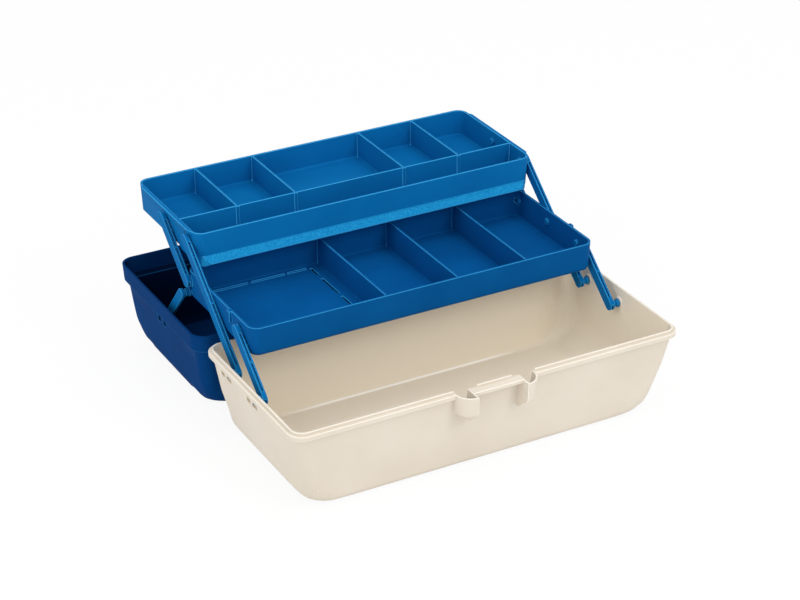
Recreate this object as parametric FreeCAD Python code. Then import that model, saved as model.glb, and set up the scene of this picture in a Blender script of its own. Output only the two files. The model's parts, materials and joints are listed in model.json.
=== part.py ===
import FreeCAD, Part
import math
import os

from FreeCAD import Vector

# A moulded cantilever tackle box standing open: a tub in front, its lid laid open behind it,
# and two trays carried between them on swinging arms. Millimetres, +X along the length,
# +Y towards the back, +Z up, origin in the middle of the tub's flat underside.

# ---- tub -------------------------------------------------------------------------------------
tub_half_x = 199.6          # outside of the wall at the rim, half the length
tub_half_y = 91.3           # the same, half the depth
tub_wall = 2.3
tub_floor = 4.0
tub_draft = 0.12            # end walls: sideways millimetres per millimetre of height
tub_side_draft = 0.16       # the same for the long walls
tub_end_radius = 36.0       # rounding between an end wall and the underside
tub_side_radius = 10.0      # rounding between a long wall and the underside
tub_valley_radius = 3.5     # the same on the inside
corner_radius = 12.0        # upright corners in plan
foot_corner_radius = 20.0   # the tub's upright corners where they reach the underside
ledge_z = 88.2              # the ledge that carries the lid
ledge_width = 3.0
ledge_depth = 4.6
tongue_height = 2.7         # upstand inside the ledge that the lid drops over

# ---- lid, drawn lying open on its top ----------------------------------------------------------
lid_height = 87.1
lid_wall = 2.1
lid_roof = 2.0
lid_draft_x = 0.12
lid_draft_y = 0.06
lid_end_radius = 17.0
lid_side_radius = 12.0
lid_corner_growth = 10.0    # how much rounder the lid's upright corners are at its top
rim_fit = 0.5               # sideways room between the tongue and the lid
rim_gap = 0.3               # height left between the closed lid and the ledge
band_height = 17.0          # the thick-looking band round the lid's rim
band_slope = 4.0            # height over which the band runs back into the wall
band_step = 3.0             # how far the band stands out
band_draft = 0.06
band_root = 0.4             # the slope starts this far inside the wall, for a clean crease

# ---- rim hinge -------------------------------------------------------------------------------
hinge_standoff = 9.1        # pin axis behind the rims
hinge_station_x = 118.0
knuckle_radius = 4.6
knuckle_length = 14.0
knuckle_gap = 0.4
hinge_web = 5.0
hinge_pin_radius = 1.6
pin_fit = 0.05              # radial running clearance of every pivot

# ---- cantilever linkage ------------------------------------------------------------------------
base_pivot_back = 47.3      # rear tub pivot in front of the hinge axis
base_pivot_drop = 11.8      # and below it
pivot_spacing = 54.0        # front arm to long arm
arm_reach = 70.0            # pivot to pivot on each stage
open_angle = 40.0           # arms above the horizontal when the box is open
arm_half_width = 5.3
arm_thickness = 4.6
arm_gap = 0.4               # running gap beside a tray or another arm
groove_width = 1.9
groove_depth = 3.1
groove_end = 5.6            # from a pivot to the end of a groove
groove_rib = 2.0
tip_notch = 2.4             # from a pivot to the notch in an arm's tip
pin_radius = 3.0
pin_collar_radius = 4.1
pin_collar_length = 1.6
pin_head_radius = 3.6
pin_head_length = 2.0
pin_knob_length = 1.4       # smaller collar close to the arm
socket_radius = 6.2         # low pad round a pivot on the inside of the tub's end wall
socket_pad = 0.6
socket_depth = 1.7          # bore from the pad's face into the wall
socket_floor = 0.25

window_inner = 1.9          # half the strip between a pair of moulding recesses
window_length = 9.4
window_height = 7.6
window_depth = 1.6

# ---- lid links ---------------------------------------------------------------------------------
link_tray_back = 59.8       # link stud behind the lower tray's rear pivot
link_tray_drop = 14.2       # and below it
link_lid_back = 104.9       # link pivot in the lid behind the hinge axis
link_lid_drop = 26.6        # and below it
link_thickness = 3.0
link_half_width = 4.9
link_pin_radius = 2.4
link_stud_radius = 2.6
stud_boss_radius = 4.6
foot_boss_radius = 5.6
stud_flange = 1.2
link_socket_radius = 4.8
link_socket_depth = 2.0
link_window_inner = 2.9
link_window_length = 6.6
link_window_height = 8.0
link_window_depth = 2.5

# ---- trays -------------------------------------------------------------------------------------
tray_side_gap = 14.1        # tray end to the inside of the tub's end at the rim
tray_wall = 2.0
tray_floor = 2.0
tray_draft = 0.05
divider = 1.8
divider_draft = 0.02
floor_fillet = 2.0
divider_fillet = 1.4

lower_front = 27.0          # rim in front of the front pivot
lower_rear = 62.0           # rim behind the rear pivot
lower_rim = 11.3            # rim above the pivots
lower_depth = 30.1
lower_corner = 11.0
lower_foot_radius = 5.0
lower_dividers = (-44.7, 31.6, 106.4)

slot_x = -57.3              # row of slots in the floor of the large compartment
slot_width = 2.2
slot_spans = ((76.5, 95.0), (102.5, 136.5), (145.5, 160.5))
rib_inset = 6.0             # low broken rib along the back of the same floor
rib_height = 2.0
rib_width = 1.6
rib_spans = ((-168.0, -124.5), (-121.5, -85.5), (-82.5, -62.0))

stop_front = 14.7           # arm stop on the tray's end, behind the front pivot: a bar on one leg
stop_length = 5.6
stop_height = 11.0
stop_proud = 2.6
stop_bar = 2.0
stop_leg = 1.8

upper_front = 17.1
upper_rear = 121.2
upper_rim = 10.2
upper_trough_depth = 35.0
upper_rear_depth = 28.2
upper_trough_width = 40.0   # rim to long divider
upper_corner = 11.0
upper_foot_radius = 6.0
upper_bead = 2.0            # rim bead on the tray's ends
upper_bead_height = 3.8
upper_bead_taper = 5.0    # length over which it runs out before a corner
upper_dividers = (-121.5, -59.5, 59.5, 121.5)
skirt_height = 10.2         # flared band along the bottom of the front
skirt_flare = 2.4
divider_rib_radius = 1.5

# ---- front guards, catch and latch -------------------------------------------------------------
guard_inner_x = 25.5        # flat flank of each quarter-round guard
guard_radius = 17.0
guard_draft = 0.9
guard_depth = 19.4          # ledge to the lower edge of the curved face
guard_slope = 12.6          # from there down to where the underside meets the wall
guard_edge = 3.0
guard_tip = 0.6             # small flat where the coned underside comes to a point
guard_wall = 1.6
lid_guard_wall = 2.0
catch_reach = 7.8           # catch plate beyond the tongue
catch_thickness = 2.8
catch_tongue_half = 18.0
lid_guard_height = 16.0
latch_side_gap = 1.2
latch_stand = 6.6           # latch pin axis outside the lid's band
latch_rise = 8.4            # latch pin axis inside the lid's rim line
latch_pin_radius = 1.5
latch_barrel_radius = 3.2
latch_plate = 2.4
latch_gap = 0.8             # plate to catch edge, and hook to catch underside
latch_hook = 4.0
latch_hook_thickness = 2.4
latch_lip = 9.0

# ---- carrying handle in a recess of the lid's top ------------------------------------------------
recess_half_x = 62.0
recess_front = 30.0         # recess edge nearer the box's middle, in front of the lid's middle
recess_width = 34.0
recess_depth = 9.4
recess_wall = 2.0
recess_corner = 4.0
recess_draft = 0.05
handle_gap = 1.2
handle_thickness = 7.6
handle_grip = 11.0
handle_ear = 10.0
handle_corner = 6.0
handle_play = 0.6           # taken off each flat of the handle
handle_pin_radius = 2.2
handle_pin_length = 1.6

# ---- derived places ----------------------------------------------------------------------------
tub_inner_rim = tub_half_x - tub_wall
band_half_x = tub_half_x + rim_fit + lid_wall
band_half_y = tub_half_y + rim_fit + lid_wall
hinge_y = band_half_y + hinge_standoff
hinge_z = (lid_height + ledge_z + rim_gap) / 2
lid_y = 2 * hinge_y
tongue_top = ledge_z + tongue_height

arm_step = (arm_reach * math.cos(math.radians(open_angle)), arm_reach * math.sin(math.radians(open_angle)))
tub_rear_pivot = (hinge_y - base_pivot_back, hinge_z - base_pivot_drop)
tub_front_pivot = (tub_rear_pivot[0] - pivot_spacing, tub_rear_pivot[1])
lower_front_pivot = (tub_front_pivot[0] + arm_step[0], tub_front_pivot[1] + arm_step[1])
lower_rear_pivot = (tub_rear_pivot[0] + arm_step[0], tub_rear_pivot[1] + arm_step[1])
short_foot_pivot = (lower_rear_pivot[0] + pivot_spacing, lower_rear_pivot[1])
upper_front_pivot = (lower_rear_pivot[0] + arm_step[0], lower_rear_pivot[1] + arm_step[1])
upper_rear_pivot = (upper_front_pivot[0] + pivot_spacing, upper_front_pivot[1])
link_tray_pivot = (lower_rear_pivot[0] + link_tray_back, lower_rear_pivot[1] - link_tray_drop)
link_lid_pivot = (hinge_y + link_lid_back, hinge_z - link_lid_drop)

tray_half_x = tub_inner_rim - tray_side_gap
arm_inner_x = tray_half_x + arm_gap
arm_outer_x = arm_inner_x + arm_thickness
link_inner_x = arm_outer_x + arm_gap
link_outer_x = link_inner_x + link_thickness

lower_front_y = lower_front_pivot[0] - lower_front
lower_rear_y = lower_rear_pivot[0] + lower_rear
lower_top = lower_front_pivot[1] + lower_rim
upper_front_y = upper_front_pivot[0] - upper_front
upper_rear_y = upper_front_pivot[0] + upper_rear
upper_top = upper_front_pivot[1] + upper_rim
upper_divider_y = upper_front_y + upper_trough_width

latch_y = lid_y + band_half_y + latch_stand
latch_z = lid_height - latch_rise


# ---- small tools ---------------------------------------------------------------------------------
def box(x0, x1, y0, y1, z0, z1):
    return Part.makeBox(x1 - x0, y1 - y0, z1 - z0, Vector(x0, y0, z0))


def rod(radius, x0, x1, y, z):
    """Cylinder along X."""
    return Part.makeCylinder(radius, x1 - x0, Vector(x0, y, z), Vector(1, 0, 0))


def round_rect(half_x, half_y, radius, z, y=0.0, x=0.0):
    """Rounded rectangle wire at height z, centred on x, y."""
    r = min(radius, half_x - 0.01, half_y - 0.01)
    k = r * math.sqrt(0.5)
    edges = []
    corners = ((1, -1, 0), (1, 1, 90), (-1, 1, 180), (-1, -1, 270))
    ends = []
    for sx, sy, turn in corners:
        cx = x + sx * (half_x - r)
        cy = y + sy * (half_y - r)
        a = math.radians(turn - 90)
        start = Vector(cx + r * math.cos(a), cy + r * math.sin(a), z)
        stop = Vector(cx - r * math.sin(a), cy + r * math.cos(a), z)
        middle = Vector(cx + sx * k, cy + sy * k, z)
        ends.append((start, middle, stop))
    for i, (start, middle, stop) in enumerate(ends):
        edges.append(Part.Arc(start, middle, stop).toShape())
        edges.append(Part.LineSegment(stop, ends[(i + 1) % 4][0]).toShape())
    return Part.Wire(edges)


def loft(wires, ruled=False):
    return Part.makeLoft(wires, True, ruled)


def prism(half_x, half_y, radius, z0, z1, y=0.0, x=0.0):
    face = Part.Face(round_rect(half_x, half_y, radius, z0, y, x))
    return face.extrude(Vector(0, 0, z1 - z0))


def drafted(half_x, half_y, radius, z0, z1, draft, y=0.0, x=0.0):
    """Rounded box with conical upright corners; the half sizes and the radius are those at z1."""
    d = draft * (z1 - z0)
    ix = half_x - radius
    iy = half_y - radius
    r0 = radius - d
    across = [(x - ix - r0, z0), (x + ix + r0, z0), (x + ix + radius, z1), (x - ix - radius, z1)]
    along = [(y - iy - r0, z0), (y + iy + r0, z0), (y + iy + radius, z1), (y - iy - radius, z1)]
    wire = Part.makePolygon([Vector(px, y - iy, pz) for px, pz in across + [across[0]]])
    slab = Part.Face(wire).extrude(Vector(0, 2 * iy, 0))
    pieces = [polygon_x(along, x - ix, x + ix)]
    for sx in (-1, 1):
        for sy in (-1, 1):
            pieces.append(Part.makeCone(r0, radius, z1 - z0, Vector(x + sx * ix, y + sy * iy, z0)))
    return slab.fuse(pieces).removeSplitter()


def edges_at(shape, test):
    """Edges whose every point passes a test on its middle and ends."""
    found = []
    for edge in shape.Edges:
        points = [edge.valueAt(edge.FirstParameter), edge.valueAt(edge.LastParameter), edge.CenterOfMass]
        if all(test(p) for p in points):
            found.append(edge)
    return found


def polygon_x(points, x0, x1):
    """Prism along X from points in the Y-Z plane."""
    wire = Part.makePolygon([Vector(x0, y, z) for y, z in points + [points[0]]])
    return Part.Face(wire).extrude(Vector(x1 - x0, 0, 0))


def both_sides(shape):
    return shape.mirror(Vector(0, 0, 0), Vector(1, 0, 0))


def cleaned(shape):
    solids = shape.removeSplitter().Solids
    return solids[0] if len(solids) == 1 else Part.makeCompound(solids)


def edge_drop(depth, radius):
    """How far a rounded lower edge pulls a wall in, at a height above the underside."""
    if depth >= radius:
        return 0.0
    return radius - math.sqrt(radius ** 2 - (radius - depth) ** 2)


class Bowl:
    """Drafted bowl with round lower edges; section(z, inset) gives its outline at any height."""

    def __init__(self, half_x, half_y, top, draft_x, draft_y, end_radius, side_radius, y=0.0):
        self.half_x = half_x
        self.half_y = half_y
        self.top = top
        self.draft_x = draft_x
        self.draft_y = draft_y
        self.end_radius = end_radius
        self.side_radius = side_radius
        self.y = y

    def half_length(self, z, inset=0.0, foot=0.0):
        wall = self.half_x - self.draft_x * (self.top - z) - inset
        return wall - edge_drop(z - foot, self.end_radius - inset)

    def half_depth(self, z, inset=0.0, foot=0.0):
        wall = self.half_y - self.draft_y * (self.top - z) - inset
        return wall - edge_drop(z - foot, self.side_radius - inset)

    def section(self, z, inset, foot):
        height = self.end_radius + foot
        growth = lid_corner_growth * max(0.0, 1 - z / height)
        radius = corner_radius - inset + growth
        return round_rect(self.half_length(z, inset, foot), self.half_depth(z, inset, foot), radius, z, self.y)

    def solid(self, inset, foot, top):
        radius = self.end_radius - inset
        angles = (0, 14, 28, 42, 56, 72, 90)
        levels = [foot + radius * (1 - math.cos(math.radians(a))) for a in angles]
        low = loft([self.section(z, inset, foot) for z in levels])
        high = loft([self.section(levels[-1], inset, foot), self.section(top, inset, foot)], True)
        return low.fuse(high)


tub_bowl = Bowl(tub_half_x, tub_half_y, ledge_z, tub_draft, tub_side_draft, tub_end_radius, tub_side_radius)
lid_bowl = Bowl(band_half_x - band_step, band_half_y - band_step, lid_height, lid_draft_x, lid_draft_y,
                lid_end_radius, lid_side_radius, lid_y)


# ---- tub -----------------------------------------------------------------------------------------
def trough(half, draft, over, radius, foot, reach):
    """Long body in Y with drafted sides and round lower edges; half is its size at the ledge."""
    lean = math.hypot(1.0, draft)
    middle_z = foot + radius
    centre = half - draft * (ledge_z - middle_z) - radius * lean
    turn = (math.atan(draft) + math.pi / 2) / 2
    rim = (half + draft * over, ledge_z + over)
    side = (centre + radius / lean, middle_z - radius * draft / lean)
    bend = (centre + radius * math.cos(turn), middle_z - radius * math.sin(turn))
    right = [Vector(x, -reach, z) for x, z in (rim, side, bend, (centre, foot))]
    left = [Vector(-v.x, v.y, v.z) for v in right]
    edges = [
        Part.LineSegment(right[0], right[1]).toShape(),
        Part.Arc(right[1], right[2], right[3]).toShape(),
        Part.LineSegment(right[3], left[3]).toShape(),
        Part.Arc(left[3], left[2], left[1]).toShape(),
        Part.LineSegment(left[1], left[0]).toShape(),
        Part.LineSegment(left[0], right[0]).toShape(),
    ]
    return Part.Face(Part.Wire(edges)).extrude(Vector(0, 2 * reach, 0))


def tub_block(inset, foot, over, side_radius):
    """The tub's outside, or its inside when inset, up to a height over the ledge."""
    half_x = tub_half_x - inset
    half_y = tub_half_y - inset
    ends = trough(half_x, tub_draft, over, tub_end_radius - inset, foot, 2 * tub_half_y)
    sides = trough(half_y, tub_side_draft, over, side_radius, foot, 2 * tub_half_x)
    sides.rotate(Vector(0, 0, 0), Vector(0, 0, 1), 90)
    low_x = half_x - tub_draft * (ledge_z - foot)
    low_y = half_y - tub_side_draft * (ledge_z - foot)
    plan = loft([
        round_rect(low_x, low_y, foot_corner_radius - inset, foot),
        round_rect(half_x + tub_draft * over, half_y + tub_side_draft * over, corner_radius - inset, ledge_z + over),
    ], True)
    return ends.common(sides).common(plan)


def guard_turn(inset, top):
    """Quarter turn of the right guard's profile about its upright axis, carried on through the wall."""
    low = ledge_z - guard_depth
    foot = low - guard_slope + 2 * inset
    edge = low + 0.5 * inset
    reach = guard_radius - inset
    profile = [(0.0, foot), (guard_tip, foot), (reach - guard_draft, edge), (reach, top), (0.0, top)]
    points = [Vector(guard_inner_x + r, -tub_half_y, z) for r, z in profile + [profile[0]]]
    face = Part.Face(Part.makePolygon(points))
    turned = face.revolve(Vector(guard_inner_x, -tub_half_y, 0), Vector(0, 0, -1), 90)
    through = face.extrude(Vector(0, tub_wall + 2 * guard_edge + 2 * inset, 0))
    return turned, through, edge


def tub_guard():
    """Right-hand guard: quarter round with a coned underside, rounded where the two meet."""
    turned, through, edge = guard_turn(0.0, ledge_z)
    lower = edges_at(turned, lambda p: abs(p.z - edge) < 0.01)
    return turned.makeFillet(guard_edge, lower).fuse(through)


def guard_hollow():
    """Inside of the right-hand guard, open to the tub, with the flank left standing."""
    turned, through, edge = guard_turn(guard_wall, tongue_top + 1.0)
    flank = box(guard_inner_x - 1.0, guard_inner_x + guard_wall, -2 * tub_half_y, 0, 0, 2 * ledge_z)
    return turned.fuse(through).cut(flank)


def pivot_socket(y, z):
    """Blind snap socket in a low pad inside the tub's right end wall."""
    wall_x = tub_bowl.half_length(z, tub_wall)
    start = wall_x - socket_pad
    pad = Part.makeCone(socket_radius - socket_pad, socket_radius + 0.5, socket_pad + 0.5,
                        Vector(start, y, z), Vector(1, 0, 0))
    bore = rod(pin_radius + pin_fit, start - 1.0, start + socket_depth, y, z)
    return pad, bore


def windows(y, z, bowl, inner, length, height, depth):
    """Pair of moulding recesses in the outside of an end wall beside a pivot, following its draft."""
    z0 = z - height / 2
    z1 = z + height / 2
    x0 = bowl.half_length(z0) - depth
    x1 = bowl.half_length(z1) - depth
    outside = max(x0, x1) + depth + 4.0
    cuts = []
    for side in (-1, 1):
        y0 = y + min(side * inner, side * (inner + length))
        points = [(x0, z0), (outside, z0), (outside, z1), (x1, z1)]
        wire = Part.makePolygon([Vector(px, y0, pz) for px, pz in points + [points[0]]])
        cuts.append(Part.Face(wire).extrude(Vector(0, length, 0)))
    return cuts


def hinge_knuckles(parts, rim_y, z_low, z_high):
    """Knuckles on the pin axis, each with a web to the rim; parts lists their start and end in X."""
    shape = None
    web = [(rim_y, z_low), (hinge_y, hinge_z - 0.9 * knuckle_radius), (hinge_y, hinge_z), (rim_y, z_high)]
    for x0, x1 in parts:
        knuckle = rod(knuckle_radius, x0, x1, hinge_y, hinge_z).fuse(polygon_x(web, x0, x1))
        shape = knuckle if shape is None else shape.fuse(knuckle)
    return shape


def station_spans(station):
    """X spans of the two tub knuckles and the lid knuckle between them at one hinge station."""
    half = knuckle_length / 2
    outer = 1.5 * knuckle_length
    tub_parts = [(station - outer, station - half - knuckle_gap / 2), (station + half + knuckle_gap / 2, station + outer)]
    lid_part = (station - half + knuckle_gap / 2, station + half - knuckle_gap / 2)
    return tub_parts, lid_part


def make_tub():
    outer = tub_block(0.0, 0.0, 0.0, tub_side_radius)
    inner = tub_block(tub_wall, tub_floor, tongue_height + 1.0, tub_valley_radius)
    tongue = prism(tub_half_x, tub_half_y, corner_radius, ledge_z - 1.0, tongue_top)
    ledge = prism(tub_half_x + ledge_width, tub_half_y + ledge_width, corner_radius + ledge_width,
                  ledge_z - ledge_depth, ledge_z)
    body = outer.fuse([tongue, ledge])

    # the tongue stops short of each guard and the catch plate spans the gap between them
    front = -(tub_half_y + ledge_width + 1.0)
    back = -(tub_half_y - tub_wall - 1.5)
    end_x = guard_inner_x + guard_radius
    for side in (-1, 1):
        x0, x1 = sorted((side * catch_tongue_half, side * end_x))
        body = body.cut(box(x0, x1, front, back, ledge_z, tongue_top + 1.0))
    plate = box(-guard_inner_x, guard_inner_x, -(tub_half_y + catch_reach), back + 1.0,
                ledge_z - catch_thickness, ledge_z)
    lip = box(-guard_inner_x, guard_inner_x, -(tub_half_y + catch_reach), -(tub_half_y + catch_reach) + 1.6,
              ledge_z - catch_thickness - 0.8, ledge_z)
    guard = tub_guard()
    hollow = guard_hollow()
    body = body.fuse([plate, lip, guard, both_sides(guard)])
    body = body.cut([inner, hollow, both_sides(hollow)])

    pads = []
    bores = []
    openings = []
    for y, z in (tub_rear_pivot, tub_front_pivot):
        pad, bore = pivot_socket(y, z)
        pads += [pad, both_sides(pad)]
        bores += [bore, both_sides(bore)]
        for window in windows(y, z, tub_bowl, window_inner, window_length, window_height, window_depth):
            openings += [window, both_sides(window)]
    body = body.fuse(pads).cut(openings + bores)

    spans = []
    for station in (-hinge_station_x, hinge_station_x):
        spans += station_spans(station)[0]
    rim_back = tub_half_y + ledge_width
    web_top = ledge_z - 0.2
    knuckles = hinge_knuckles(spans, rim_back - 1.0, web_top - hinge_web, web_top)
    pins = [rod(hinge_pin_radius + pin_fit, s - 2 * knuckle_length, s + 2 * knuckle_length, hinge_y, hinge_z)
            for s in (-hinge_station_x, hinge_station_x)]
    return cleaned(body.fuse(knuckles).cut(pins))


# ---- lid -----------------------------------------------------------------------------------------
def band_solid(inset, top):
    """Outside of the lid's rim band with its sloped lower edge, or its inside when inset."""
    low = lid_height - band_height
    toe = low - band_slope
    drop = band_draft * band_height
    root = inset + band_root
    wires = [
        round_rect(lid_bowl.half_length(toe, root), lid_bowl.half_depth(toe, root), corner_radius - root, toe, lid_y),
        round_rect(band_half_x - drop - inset, band_half_y - drop - inset, corner_radius + band_step - inset, low, lid_y),
    ]
    slope = loft(wires, True)
    wires = [
        round_rect(band_half_x - drop - inset, band_half_y - drop - inset, corner_radius + band_step - inset, low, lid_y),
        round_rect(band_half_x - inset, band_half_y - inset, corner_radius + band_step - inset, top, lid_y),
    ]
    return slope.fuse(loft(wires, True))


def lid_guard(inset):
    """Right-hand quarter-round guard on the lid, the continuation of the tub's guard."""
    line = lid_y + band_half_y - ledge_width
    r = guard_radius - inset
    x0 = guard_inner_x + inset
    wires = []
    for z, shrink in ((lid_height - lid_guard_height + inset, 1.2), (lid_height + (1.0 if inset else 0.0), 0.0)):
        s = r - shrink
        corner = Vector(x0, line + s, z)
        turn = Vector(x0 + s * math.sin(math.radians(45)), line + s * math.cos(math.radians(45)), z)
        end = Vector(x0 + s, line, z)
        back = line - lid_wall - 1.0
        wires.append(Part.Wire([
            Part.LineSegment(Vector(x0, back, z), corner).toShape(),
            Part.Arc(corner, turn, end).toShape(),
            Part.LineSegment(end, Vector(x0 + s, back, z)).toShape(),
            Part.LineSegment(Vector(x0 + s, back, z), Vector(x0, back, z)).toShape(),
        ]))
    return loft(wires, True)


def link_socket():
    """Blind socket for a lid link inside the lid's right end wall, with its moulding windows."""
    y, z = link_lid_pivot
    wall_x = lid_bowl.half_length(z, lid_wall)
    boss = rod(link_socket_radius, link_outer_x + arm_gap, wall_x + 0.6, y, z)
    bore = rod(link_pin_radius + pin_fit, link_outer_x, link_outer_x + arm_gap + link_socket_depth, y, z)
    cuts = windows(y, z, lid_bowl, link_window_inner, link_window_length, link_window_height, link_window_depth)
    return boss, bore, cuts


def handle_place():
    """Middle of the handle recess in Y and the height of the handle's pivot."""
    middle = lid_y + recess_front + recess_width / 2
    return middle, handle_gap + handle_thickness / 2 - handle_play


def make_lid():
    outer = lid_bowl.solid(0.0, 0.0, lid_height - band_height)
    outer = outer.fuse(band_solid(0.0, lid_height))
    inner = lid_bowl.solid(lid_wall, lid_roof, lid_height - band_height)
    inner = inner.fuse(band_solid(lid_wall, lid_height + 1.0))
    body = outer.cut(inner)

    guard = lid_guard(0.0).cut(inner)
    body = body.fuse([guard, both_sides(guard)])
    hollow = lid_guard(lid_guard_wall)
    body = body.cut([hollow, both_sides(hollow)])

    boss, bore, cuts = link_socket()
    openings = cuts + [both_sides(c) for c in cuts]
    body = body.fuse([boss, both_sides(boss)]).cut(openings + [bore, both_sides(bore)])

    # recess in the top that the handle folds into
    recess_y, _ = handle_place()
    shell = drafted(recess_half_x + recess_wall, recess_width / 2 + recess_wall, recess_corner + recess_wall,
                    0.0, recess_depth + recess_wall, -recess_draft, recess_y)
    pocket = drafted(recess_half_x, recess_width / 2, recess_corner, -1.0, recess_depth, -recess_draft, recess_y)
    body = body.fuse(shell).cut(pocket)
    body = body.cut(handle_bores())

    # hinge knuckles between the tub's
    spans = [station_spans(s)[1] for s in (-hinge_station_x, hinge_station_x)]
    rim_front = lid_y - band_half_y
    web_low = lid_height - 0.2 - hinge_web
    knuckles = hinge_knuckles(spans, rim_front + 1.2, web_low, web_low + hinge_web)
    bores = [rod(hinge_pin_radius + pin_fit, s - knuckle_length, s + knuckle_length, hinge_y, hinge_z)
             for s in (-hinge_station_x, hinge_station_x)]
    body = body.fuse(knuckles).cut(bores)
    latch_bore = rod(latch_pin_radius + pin_fit, -latch_pin_end(), latch_pin_end(), latch_y, latch_z)
    return cleaned(body.cut(latch_bore))


# ---- trays ---------------------------------------------------------------------------------------
def lower_edges(shape, z):
    return edges_at(shape, lambda p: abs(p.z - z) < 0.01)


def valley_x(x0, x1, z0, z1):
    """Cutter between two dividers, long in Y, narrowing downwards, with round lower edges."""
    d = divider_draft * (z1 - z0)
    reach = 2 * tub_half_y
    points = [(x0 + d, z0), (x1 - d, z0), (x1, z1), (x0, z1)]
    wire = Part.makePolygon([Vector(x, -reach, z) for x, z in points + [points[0]]])
    shape = Part.Face(wire).extrude(Vector(0, 4 * reach, 0))
    return shape.makeFillet(divider_fillet, edges_along(shape, z0, 1))


def valley_y(y0, y1, z0, z1):
    """The same cutter, long in X."""
    d = divider_draft * (z1 - z0)
    shape = polygon_x([(y0 + d, z0), (y1 - d, z0), (y1, z1), (y0, z1)], -tub_half_x, tub_half_x)
    return shape.makeFillet(divider_fillet, edges_along(shape, z0, 0))


def edges_along(shape, z, axis):
    """Lower edges of a cutter that run along X (0) or Y (1)."""
    return [edge for edge in lower_edges(shape, z)
            if abs(edge.tangentAt(edge.FirstParameter)[axis]) > 0.9]


def tray_cavity(front, rear, floor_z, top, corner):
    """The whole inside of a tray down to one floor level."""
    half_y = (rear - front) / 2 - tray_wall
    inner = corner - tray_wall
    shape = drafted(tray_half_x - tray_wall, half_y, inner, floor_z, top + 1.0, tray_draft, (front + rear) / 2)
    return shape.makeFillet(floor_fillet, lower_edges(shape, floor_z))


def divided(cavity, dividers, floor_z, top):
    """Split a cavity into compartments between dividers at the given places in X."""
    edges = [-tub_half_x]
    for x in dividers:
        edges += [x - divider / 2, x + divider / 2]
    edges.append(tub_half_x)
    return [cavity.common(valley_x(edges[i], edges[i + 1], floor_z, top + 1.0)) for i in range(0, len(edges), 2)]


def tray_body(front, rear, top, depth, corner, foot_radius, half_x):
    half_y = (rear - front) / 2
    shape = drafted(half_x, half_y, corner, top - depth, top, tray_draft, (front + rear) / 2)
    return shape.makeFillet(foot_radius, lower_edges(shape, top - depth))


def end_holes(places, radius):
    """Bores through the right and left end walls only."""
    cuts = []
    for y, z in places:
        hole = rod(radius + pin_fit, tray_half_x - 8.0, tray_half_x + 4.0, y, z)
        cuts += [hole, both_sides(hole)]
    return cuts


def make_lower_tray():
    depth = lower_depth
    body = tray_body(lower_front_y, lower_rear_y, lower_top, depth, lower_corner, lower_foot_radius, tray_half_x)
    floor_z = lower_top - depth + tray_floor
    inner_rear = lower_rear_y - tray_wall
    for radius, place in ((stud_boss_radius, link_tray_pivot), (foot_boss_radius, short_foot_pivot)):
        boss = rod(radius, tray_half_x - 2 * tray_wall, tray_half_x - 0.1, *place)
        body = body.fuse([boss, both_sides(boss)])
    cavity = tray_cavity(lower_front_y, lower_rear_y, floor_z, lower_top, lower_corner)
    body = body.cut(divided(cavity, lower_dividers, floor_z, lower_top))
    slots = [box(slot_x - slot_width / 2, slot_x + slot_width / 2, y0, y1, floor_z - tray_floor - 1, floor_z + 1)
             for y0, y1 in slot_spans]
    rib_y = inner_rear - tray_draft * depth - rib_inset
    ribs = [box(x0, x1, rib_y - rib_width, rib_y, floor_z - 0.2, floor_z + rib_height) for x0, x1 in rib_spans]
    y0 = lower_front_pivot[0] + stop_front
    root = tray_half_x - tray_wall * 0.5
    end = tray_half_x + stop_proud
    stop = box(root, end, y0, y0 + stop_length, lower_top - stop_bar, lower_top)
    stop = stop.fuse(box(root, end, y0, y0 + stop_leg, lower_top - stop_height, lower_top))
    body = body.cut(slots).fuse(ribs + [stop, both_sides(stop)])
    arm_places = (lower_front_pivot, lower_rear_pivot, short_foot_pivot)
    stud_bore = rod(link_stud_radius + pin_fit, stud_bore_floor(), tray_half_x + 1.0, *link_tray_pivot)
    face_x = tray_half_x - tray_draft * lower_rim - tray_wall
    seat = rod(pin_head_radius + 0.4, face_x - 6.0, face_x, *short_foot_pivot)
    cuts = end_holes(arm_places, pin_radius) + [stud_bore, both_sides(stud_bore), seat, both_sides(seat)]
    return cleaned(body.cut(cuts))


def stud_bore_floor():
    """Inner end of the blind bore for a link stud."""
    return tray_half_x - tray_draft * (lower_rim + link_tray_drop) - tray_wall + 0.4


def make_upper_tray():
    body = tray_body(upper_front_y, upper_rear_y, upper_top, upper_trough_depth, upper_corner,
                     upper_foot_radius, tray_half_x)
    # the rear rows are shallower than the front trough
    step_z = upper_top - upper_rear_depth
    body = body.cut(box(-tray_half_x - 5, tray_half_x + 5, upper_divider_y + divider, upper_rear_y + 5,
                        upper_top - upper_trough_depth - 5, step_z))
    bead = rim_bead()
    body = body.fuse([bead, both_sides(bead), make_skirt()])

    trough_floor = upper_top - upper_trough_depth + tray_floor
    rear_floor = step_z + tray_floor
    front_face = upper_divider_y - divider / 2
    rear_face = upper_divider_y + divider / 2
    trough = tray_cavity(upper_front_y, upper_rear_y, trough_floor, upper_top, upper_corner)
    trough = trough.common(valley_y(-tub_half_y, front_face, trough_floor, upper_top + 1.0))
    rear = tray_cavity(upper_front_y, upper_rear_y, rear_floor, upper_top, upper_corner)
    rear = rear.common(valley_y(rear_face, 4 * tub_half_y, rear_floor, upper_top + 1.0))
    body = body.cut([trough] + divided(rear, upper_dividers, rear_floor, upper_top))
    ribs = [Part.makeCylinder(divider_rib_radius, upper_trough_depth - tray_floor,
                              Vector(x, upper_divider_y - divider / 2, trough_floor))
            for x in upper_dividers]
    body = body.fuse(ribs)
    return cleaned(body.cut(end_holes((upper_front_pivot, upper_rear_pivot), pin_radius)))


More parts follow.
